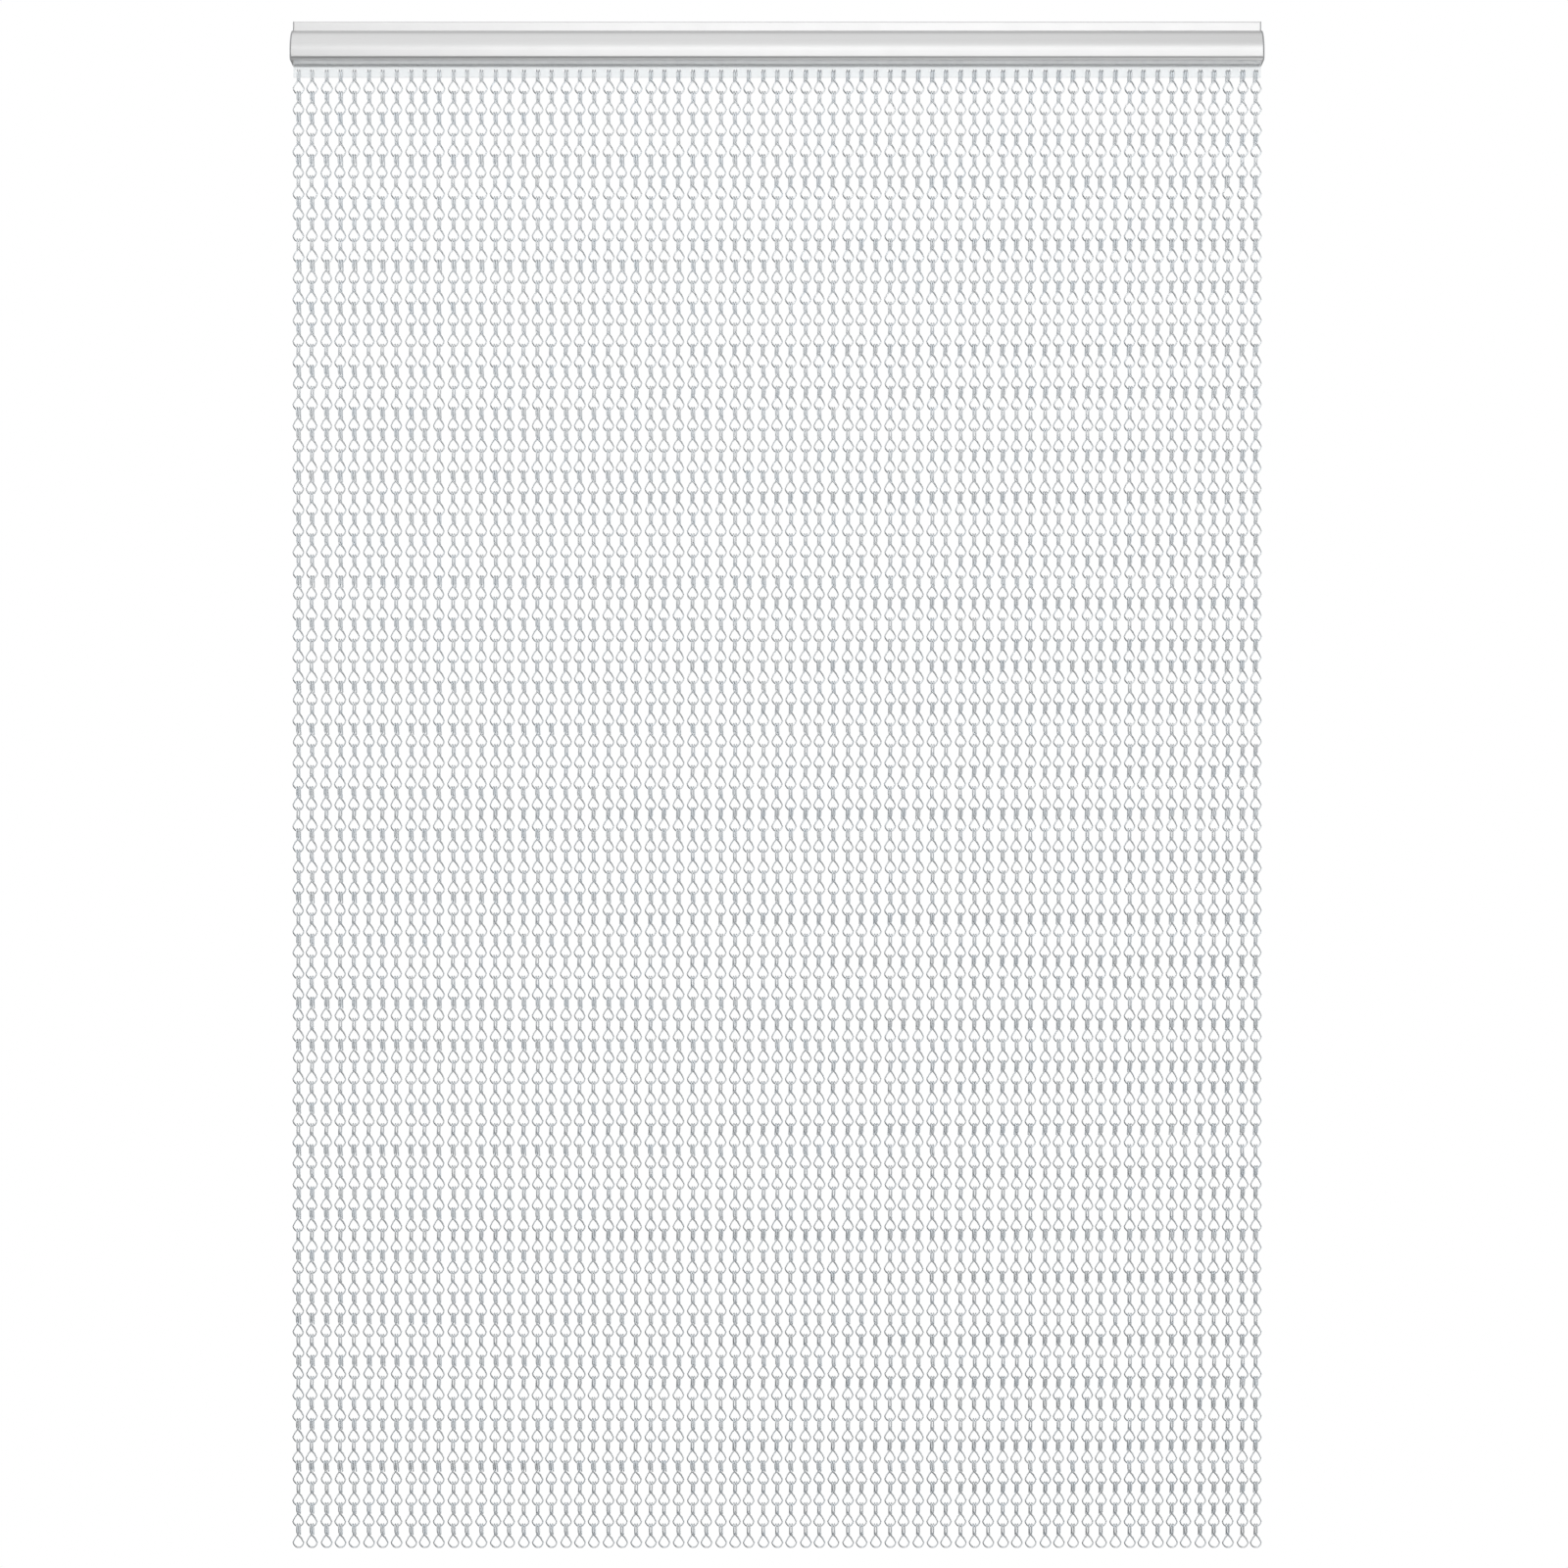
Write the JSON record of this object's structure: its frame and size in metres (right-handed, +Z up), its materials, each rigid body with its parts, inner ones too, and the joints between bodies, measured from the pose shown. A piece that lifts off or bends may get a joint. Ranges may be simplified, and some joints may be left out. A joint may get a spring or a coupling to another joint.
{
  "type": "chain curtain",
  "caption": "Doorway curtain of hanging aluminium wire chains on a clear strip under a rounded wall rail, whose strands swing to and fro one by one.",
  "frame": {"origin": "centre of the rail's back face, which lies against the wall", "axes": "+Z up along the strands, +Y into the wall, +X to the right as seen from the front"},
  "size_m": [0.9, 0.0215, 1.4174],
  "materials": {
    "anodised_rail": "satin anodised",
    "wire": "bright drawn wire",
    "clear_strip": "pale translucent",
    "cap_plastic": "satin"
  },
  "bodies": {
    "rail": {"rail_profile": "anodised_rail", "end_cap_left": "cap_plastic", "end_cap_right": "cap_plastic", "hanging_strip_and_top_links": "clear_strip"},
    "strand_08": {"strand_08": "wire"},
    "strand_09": {"strand_09": "wire"},
    "strand_10": {"strand_10": "wire"},
    "strand_11": {"strand_11": "wire"},
    "strand_12": {"strand_12": "wire"},
    "strand_13": {"strand_13": "wire"},
    "strand_14": {"strand_14": "wire"},
    "strand_15": {"strand_15": "wire"},
    "strand_16": {"strand_16": "wire"},
    "strand_17": {"strand_17": "wire"},
    "strand_18": {"strand_18": "wire"},
    "strand_19": {"strand_19": "wire"},
    "strand_20": {"strand_20": "wire"},
    "strand_21": {"strand_21": "wire"},
    "strand_22": {"strand_22": "wire"},
    "strand_23": {"strand_23": "wire"},
    "strand_24": {"strand_24": "wire"},
    "strand_25": {"strand_25": "wire"},
    "strand_26": {"strand_26": "wire"},
    "strand_27": {"strand_27": "wire"},
    "strand_28": {"strand_28": "wire"},
    "strand_29": {"strand_29": "wire"},
    "strand_30": {"strand_30": "wire"},
    "strand_31": {"strand_31": "wire"},
    "strand_32": {"strand_32": "wire"},
    "strand_33": {"strand_33": "wire"},
    "strand_34": {"strand_34": "wire"},
    "strand_35": {"strand_35": "wire"},
    "strand_36": {"strand_36": "wire"},
    "strand_37": {"strand_37": "wire"},
    "strand_38": {"strand_38": "wire"},
    "strand_39": {"strand_39": "wire"},
    "strand_40": {"strand_40": "wire"},
    "strand_41": {"strand_41": "wire"},
    "strand_42": {"strand_42": "wire"},
    "strand_43": {"strand_43": "wire"},
    "strand_44": {"strand_44": "wire"},
    "strand_45": {"strand_45": "wire"},
    "strand_46": {"strand_46": "wire"},
    "strand_47": {"strand_47": "wire"},
    "strand_48": {"strand_48": "wire"},
    "strand_49": {"strand_49": "wire"},
    "strand_50": {"strand_50": "wire"},
    "strand_51": {"strand_51": "wire"},
    "strand_52": {"strand_52": "wire"},
    "strand_53": {"strand_53": "wire"},
    "strand_54": {"strand_54": "wire"},
    "strand_55": {"strand_55": "wire"},
    "strand_56": {"strand_56": "wire"},
    "strand_57": {"strand_57": "wire"},
    "strand_58": {"strand_58": "wire"},
    "strand_59": {"strand_59": "wire"},
    "strand_60": {"strand_60": "wire"},
    "strand_61": {"strand_61": "wire"},
    "strand_62": {"strand_62": "wire"}
  },
  "joints": [
    {"name": "strand_08_swing", "type": "hinge", "parent": "rail", "child": "strand_08", "pos_m": [-0.35287, -0.00675, -0.04704], "axis": [1, 0, 0], "range_deg": [-75, 75]},
    {"name": "strand_09_swing", "type": "hinge", "parent": "rail", "child": "strand_09", "pos_m": [-0.3398, -0.00675, -0.04704], "axis": [1, 0, 0], "range_deg": [-75, 75]},
    {"name": "strand_10_swing", "type": "hinge", "parent": "rail", "child": "strand_10", "pos_m": [-0.32673, -0.00675, -0.04704], "axis": [1, 0, 0], "range_deg": [-75, 75]},
    {"name": "strand_11_swing", "type": "hinge", "parent": "rail", "child": "strand_11", "pos_m": [-0.31366, -0.00675, -0.04704], "axis": [1, 0, 0], "range_deg": [-75, 75]},
    {"name": "strand_12_swing", "type": "hinge", "parent": "rail", "child": "strand_12", "pos_m": [-0.30059, -0.00675, -0.04704], "axis": [1, 0, 0], "range_deg": [-75, 75]},
    {"name": "strand_13_swing", "type": "hinge", "parent": "rail", "child": "strand_13", "pos_m": [-0.28752, -0.00675, -0.04704], "axis": [1, 0, 0], "range_deg": [-75, 75]},
    {"name": "strand_14_swing", "type": "hinge", "parent": "rail", "child": "strand_14", "pos_m": [-0.27445, -0.00675, -0.04704], "axis": [1, 0, 0], "range_deg": [-75, 75]},
    {"name": "strand_15_swing", "type": "hinge", "parent": "rail", "child": "strand_15", "pos_m": [-0.26138, -0.00675, -0.04704], "axis": [1, 0, 0], "range_deg": [-75, 75]},
    {"name": "strand_16_swing", "type": "hinge", "parent": "rail", "child": "strand_16", "pos_m": [-0.24831, -0.00675, -0.04704], "axis": [1, 0, 0], "range_deg": [-75, 75]},
    {"name": "strand_17_swing", "type": "hinge", "parent": "rail", "child": "strand_17", "pos_m": [-0.23524, -0.00675, -0.04704], "axis": [1, 0, 0], "range_deg": [-75, 75]},
    {"name": "strand_18_swing", "type": "hinge", "parent": "rail", "child": "strand_18", "pos_m": [-0.22218, -0.00675, -0.04704], "axis": [1, 0, 0], "range_deg": [-75, 75]},
    {"name": "strand_19_swing", "type": "hinge", "parent": "rail", "child": "strand_19", "pos_m": [-0.20911, -0.00675, -0.04704], "axis": [1, 0, 0], "range_deg": [-75, 75]},
    {"name": "strand_20_swing", "type": "hinge", "parent": "rail", "child": "strand_20", "pos_m": [-0.19604, -0.00675, -0.04704], "axis": [1, 0, 0], "range_deg": [-75, 75]},
    {"name": "strand_21_swing", "type": "hinge", "parent": "rail", "child": "strand_21", "pos_m": [-0.18297, -0.00675, -0.04704], "axis": [1, 0, 0], "range_deg": [-75, 75]},
    {"name": "strand_22_swing", "type": "hinge", "parent": "rail", "child": "strand_22", "pos_m": [-0.1699, -0.00675, -0.04704], "axis": [1, 0, 0], "range_deg": [-75, 75]},
    {"name": "strand_23_swing", "type": "hinge", "parent": "rail", "child": "strand_23", "pos_m": [-0.15683, -0.00675, -0.04704], "axis": [1, 0, 0], "range_deg": [-75, 75]},
    {"name": "strand_24_swing", "type": "hinge", "parent": "rail", "child": "strand_24", "pos_m": [-0.14376, -0.00675, -0.04704], "axis": [1, 0, 0], "range_deg": [-75, 75]},
    {"name": "strand_25_swing", "type": "hinge", "parent": "rail", "child": "strand_25", "pos_m": [-0.13069, -0.00675, -0.04704], "axis": [1, 0, 0], "range_deg": [-75, 75]},
    {"name": "strand_26_swing", "type": "hinge", "parent": "rail", "child": "strand_26", "pos_m": [-0.11762, -0.00675, -0.04704], "axis": [1, 0, 0], "range_deg": [-75, 75]},
    {"name": "strand_27_swing", "type": "hinge", "parent": "rail", "child": "strand_27", "pos_m": [-0.10455, -0.00675, -0.04704], "axis": [1, 0, 0], "range_deg": [-75, 75]},
    {"name": "strand_28_swing", "type": "hinge", "parent": "rail", "child": "strand_28", "pos_m": [-0.09148, -0.00675, -0.04704], "axis": [1, 0, 0], "range_deg": [-75, 75]},
    {"name": "strand_29_swing", "type": "hinge", "parent": "rail", "child": "strand_29", "pos_m": [-0.07841, -0.00675, -0.04704], "axis": [1, 0, 0], "range_deg": [-75, 75]},
    {"name": "strand_30_swing", "type": "hinge", "parent": "rail", "child": "strand_30", "pos_m": [-0.06535, -0.00675, -0.04704], "axis": [1, 0, 0], "range_deg": [-75, 75]},
    {"name": "strand_31_swing", "type": "hinge", "parent": "rail", "child": "strand_31", "pos_m": [-0.05228, -0.00675, -0.04704], "axis": [1, 0, 0], "range_deg": [-75, 75]},
    {"name": "strand_32_swing", "type": "hinge", "parent": "rail", "child": "strand_32", "pos_m": [-0.03921, -0.00675, -0.04704], "axis": [1, 0, 0], "range_deg": [-75, 75]},
    {"name": "strand_33_swing", "type": "hinge", "parent": "rail", "child": "strand_33", "pos_m": [-0.02614, -0.00675, -0.04704], "axis": [1, 0, 0], "range_deg": [-75, 75]},
    {"name": "strand_34_swing", "type": "hinge", "parent": "rail", "child": "strand_34", "pos_m": [-0.01307, -0.00675, -0.04704], "axis": [1, 0, 0], "range_deg": [-75, 75]},
    {"name": "strand_35_swing", "type": "hinge", "parent": "rail", "child": "strand_35", "pos_m": [0, -0.00675, -0.04704], "axis": [1, 0, 0], "range_deg": [-75, 75]},
    {"name": "strand_36_swing", "type": "hinge", "parent": "rail", "child": "strand_36", "pos_m": [0.01307, -0.00675, -0.04704], "axis": [1, 0, 0], "range_deg": [-75, 75]},
    {"name": "strand_37_swing", "type": "hinge", "parent": "rail", "child": "strand_37", "pos_m": [0.02614, -0.00675, -0.04704], "axis": [1, 0, 0], "range_deg": [-75, 75]},
    {"name": "strand_38_swing", "type": "hinge", "parent": "rail", "child": "strand_38", "pos_m": [0.03921, -0.00675, -0.04704], "axis": [1, 0, 0], "range_deg": [-75, 75]},
    {"name": "strand_39_swing", "type": "hinge", "parent": "rail", "child": "strand_39", "pos_m": [0.05228, -0.00675, -0.04704], "axis": [1, 0, 0], "range_deg": [-75, 75]},
    {"name": "strand_40_swing", "type": "hinge", "parent": "rail", "child": "strand_40", "pos_m": [0.06535, -0.00675, -0.04704], "axis": [1, 0, 0], "range_deg": [-75, 75]},
    {"name": "strand_41_swing", "type": "hinge", "parent": "rail", "child": "strand_41", "pos_m": [0.07841, -0.00675, -0.04704], "axis": [1, 0, 0], "range_deg": [-75, 75]},
    {"name": "strand_42_swing", "type": "hinge", "parent": "rail", "child": "strand_42", "pos_m": [0.09148, -0.00675, -0.04704], "axis": [1, 0, 0], "range_deg": [-75, 75]},
    {"name": "strand_43_swing", "type": "hinge", "parent": "rail", "child": "strand_43", "pos_m": [0.10455, -0.00675, -0.04704], "axis": [1, 0, 0], "range_deg": [-75, 75]},
    {"name": "strand_44_swing", "type": "hinge", "parent": "rail", "child": "strand_44", "pos_m": [0.11762, -0.00675, -0.04704], "axis": [1, 0, 0], "range_deg": [-75, 75]},
    {"name": "strand_45_swing", "type": "hinge", "parent": "rail", "child": "strand_45", "pos_m": [0.13069, -0.00675, -0.04704], "axis": [1, 0, 0], "range_deg": [-75, 75]},
    {"name": "strand_46_swing", "type": "hinge", "parent": "rail", "child": "strand_46", "pos_m": [0.14376, -0.00675, -0.04704], "axis": [1, 0, 0], "range_deg": [-75, 75]},
    {"name": "strand_47_swing", "type": "hinge", "parent": "rail", "child": "strand_47", "pos_m": [0.15683, -0.00675, -0.04704], "axis": [1, 0, 0], "range_deg": [-75, 75]},
    {"name": "strand_48_swing", "type": "hinge", "parent": "rail", "child": "strand_48", "pos_m": [0.1699, -0.00675, -0.04704], "axis": [1, 0, 0], "range_deg": [-75, 75]},
    {"name": "strand_49_swing", "type": "hinge", "parent": "rail", "child": "strand_49", "pos_m": [0.18297, -0.00675, -0.04704], "axis": [1, 0, 0], "range_deg": [-75, 75]},
    {"name": "strand_50_swing", "type": "hinge", "parent": "rail", "child": "strand_50", "pos_m": [0.19604, -0.00675, -0.04704], "axis": [1, 0, 0], "range_deg": [-75, 75]},
    {"name": "strand_51_swing", "type": "hinge", "parent": "rail", "child": "strand_51", "pos_m": [0.20911, -0.00675, -0.04704], "axis": [1, 0, 0], "range_deg": [-75, 75]},
    {"name": "strand_52_swing", "type": "hinge", "parent": "rail", "child": "strand_52", "pos_m": [0.22218, -0.00675, -0.04704], "axis": [1, 0, 0], "range_deg": [-75, 75]},
    {"name": "strand_53_swing", "type": "hinge", "parent": "rail", "child": "strand_53", "pos_m": [0.23524, -0.00675, -0.04704], "axis": [1, 0, 0], "range_deg": [-75, 75]},
    {"name": "strand_54_swing", "type": "hinge", "parent": "rail", "child": "strand_54", "pos_m": [0.24831, -0.00675, -0.04704], "axis": [1, 0, 0], "range_deg": [-75, 75]},
    {"name": "strand_55_swing", "type": "hinge", "parent": "rail", "child": "strand_55", "pos_m": [0.26138, -0.00675, -0.04704], "axis": [1, 0, 0], "range_deg": [-75, 75]},
    {"name": "strand_56_swing", "type": "hinge", "parent": "rail", "child": "strand_56", "pos_m": [0.27445, -0.00675, -0.04704], "axis": [1, 0, 0], "range_deg": [-75, 75]},
    {"name": "strand_57_swing", "type": "hinge", "parent": "rail", "child": "strand_57", "pos_m": [0.28752, -0.00675, -0.04704], "axis": [1, 0, 0], "range_deg": [-75, 75]},
    {"name": "strand_58_swing", "type": "hinge", "parent": "rail", "child": "strand_58", "pos_m": [0.30059, -0.00675, -0.04704], "axis": [1, 0, 0], "range_deg": [-75, 75]},
    {"name": "strand_59_swing", "type": "hinge", "parent": "rail", "child": "strand_59", "pos_m": [0.31366, -0.00675, -0.04704], "axis": [1, 0, 0], "range_deg": [-75, 75]},
    {"name": "strand_60_swing", "type": "hinge", "parent": "rail", "child": "strand_60", "pos_m": [0.32673, -0.00675, -0.04704], "axis": [1, 0, 0], "range_deg": [-75, 75]},
    {"name": "strand_61_swing", "type": "hinge", "parent": "rail", "child": "strand_61", "pos_m": [0.3398, -0.00675, -0.04704], "axis": [1, 0, 0], "range_deg": [-75, 75]},
    {"name": "strand_62_swing", "type": "hinge", "parent": "rail", "child": "strand_62", "pos_m": [0.35287, -0.00675, -0.04704], "axis": [1, 0, 0], "range_deg": [-75, 75]}
  ]
}
